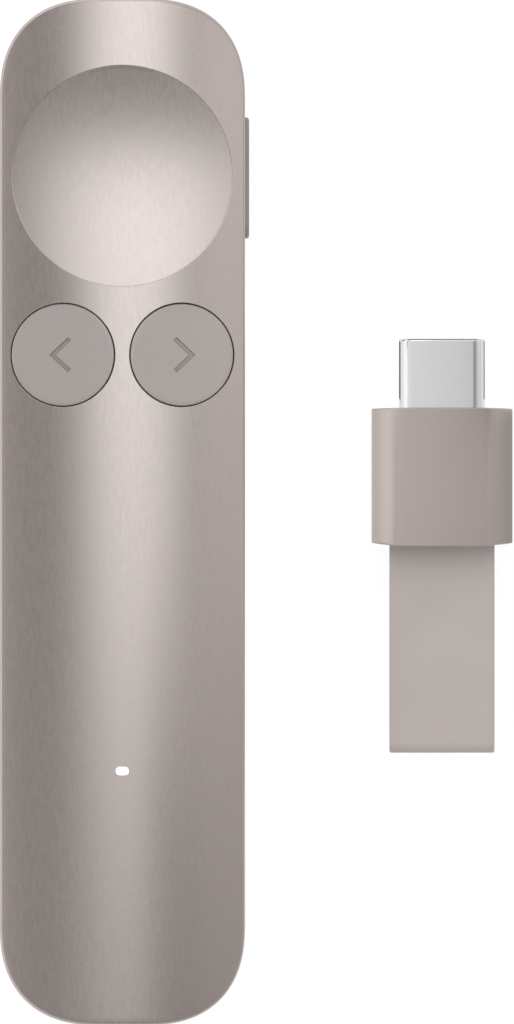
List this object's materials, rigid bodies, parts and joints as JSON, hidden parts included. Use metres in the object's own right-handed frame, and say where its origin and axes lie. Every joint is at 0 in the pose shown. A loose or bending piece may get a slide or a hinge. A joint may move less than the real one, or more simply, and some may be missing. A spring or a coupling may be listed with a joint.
{
  "type": "wireless presentation clicker",
  "caption": "Slim handheld clicker with a thumb dish, arrow buttons and a side key, with its plug-in receiver on a strap; the receiver stores in the tail dock.",
  "frame": {"origin": "centre of the clicker's flat back, on the surface it lies on", "axes": "+Z out of the crowned front that carries the buttons, +Y towards the nose, +X towards the flank with the side key and the receiver beside it"},
  "size_m": [0.0492, 0.0984, 0.0121],
  "materials": {
    "shell_metal": "fine bead-blasted anodised metal, warm grey",
    "receiver_metal": "fine bead-blasted anodised metal, warm grey",
    "cap_finish": "smooth satin, warm grey",
    "key_finish": "satin, darker warm grey",
    "dark_moulding": "fine moulded texture, black",
    "receiver_moulding": "fine moulded texture, dark warm grey",
    "switch_plunger": "moulded, dark red",
    "circuit_board": "solder mask, dark green",
    "chip_black": "moulded epoxy, black",
    "chip_white": "fired ceramic, off-white",
    "sheet_steel": "rolled, dull",
    "polished_steel": "polished",
    "gold_contacts": "gold flash",
    "cell_foil": "laminated foil, satin",
    "foam_tape": "closed-cell foam, matt",
    "flex_film": "polyimide film, amber",
    "lamp_lens": "clear moulded, lit white",
    "strap_rubber": "soft-touch matt, warm grey"
  },
  "bodies": {
    "clicker": {"front_shell": "shell_metal", "back_cover": "shell_metal", "dock_sleeve": "dark_moulding", "mid_frame": "dark_moulding", "charge_port_tongue": "dark_moulding", "flex_connectors": "dark_moulding", "battery_connector": "dark_moulding", "prev_switch": "dark_moulding", "next_switch": "dark_moulding", "side_switch": "dark_moulding", "main_board": "circuit_board", "tail_board": "circuit_board", "motion_sensor": "chip_black", "radio_chip": "chip_black", "chip_antenna": "chip_white", "shield_can": "sheet_steel", "charge_port_shell": "sheet_steel", "haptic_motor": "sheet_steel", "board_screws": "sheet_steel", "charge_port_contacts": "gold_contacts", "battery_cell": "cell_foil", "battery_pad": "foam_tape", "flex_lead": "flex_film", "force_sensor": "flex_film", "status_led": "lamp_lens", "light_pipe": "lamp_lens"},
    "left_button": {"prev_button": "cap_finish", "prev_switch_plunger": "switch_plunger"},
    "right_button": {"next_button": "cap_finish", "next_switch_plunger": "switch_plunger"},
    "key": {"side_key": "key_finish", "side_switch_plunger": "switch_plunger"},
    "receiver": {"receiver_sleeve": "receiver_metal", "receiver_front_plate": "receiver_moulding", "receiver_tail_cap": "receiver_moulding", "receiver_board": "circuit_board", "receiver_chip": "chip_black", "plug_shell": "polished_steel", "plug_core": "dark_moulding", "plug_contacts": "gold_contacts", "strap_pin": "sheet_steel"},
    "strap": {"receiver_strap": "strap_rubber"}
  },
  "joints": [
    {"name": "left_press", "type": "slide", "parent": "clicker", "child": "left_button", "axis": [0, 0, -1], "range_m": [0, 0.00025], "stiffness_N_per_m": 2000, "springref_m": -0.0003},
    {"name": "right_press", "type": "slide", "parent": "clicker", "child": "right_button", "axis": [0, 0, -1], "range_m": [0, 0.00025], "stiffness_N_per_m": 2000, "springref_m": -0.0003},
    {"name": "side_press", "type": "slide", "parent": "clicker", "child": "key", "axis": [-1, 0, 0], "range_m": [0, 0.00025], "stiffness_N_per_m": 2000, "springref_m": -0.0003},
    {"name": "receiver_slide", "type": "slide", "parent": "clicker", "child": "receiver", "axis": [0, 1, 0], "range_m": [0, 0.02]},
    {"name": "strap_flex", "type": "hinge", "parent": "receiver", "child": "strap", "pos_m": [0.0307, -0.0014, 0.00345], "axis": [-1, 0, 0], "range_deg": [-5, 30], "stiffness_Nm_per_rad": 0.004}
  ]
}
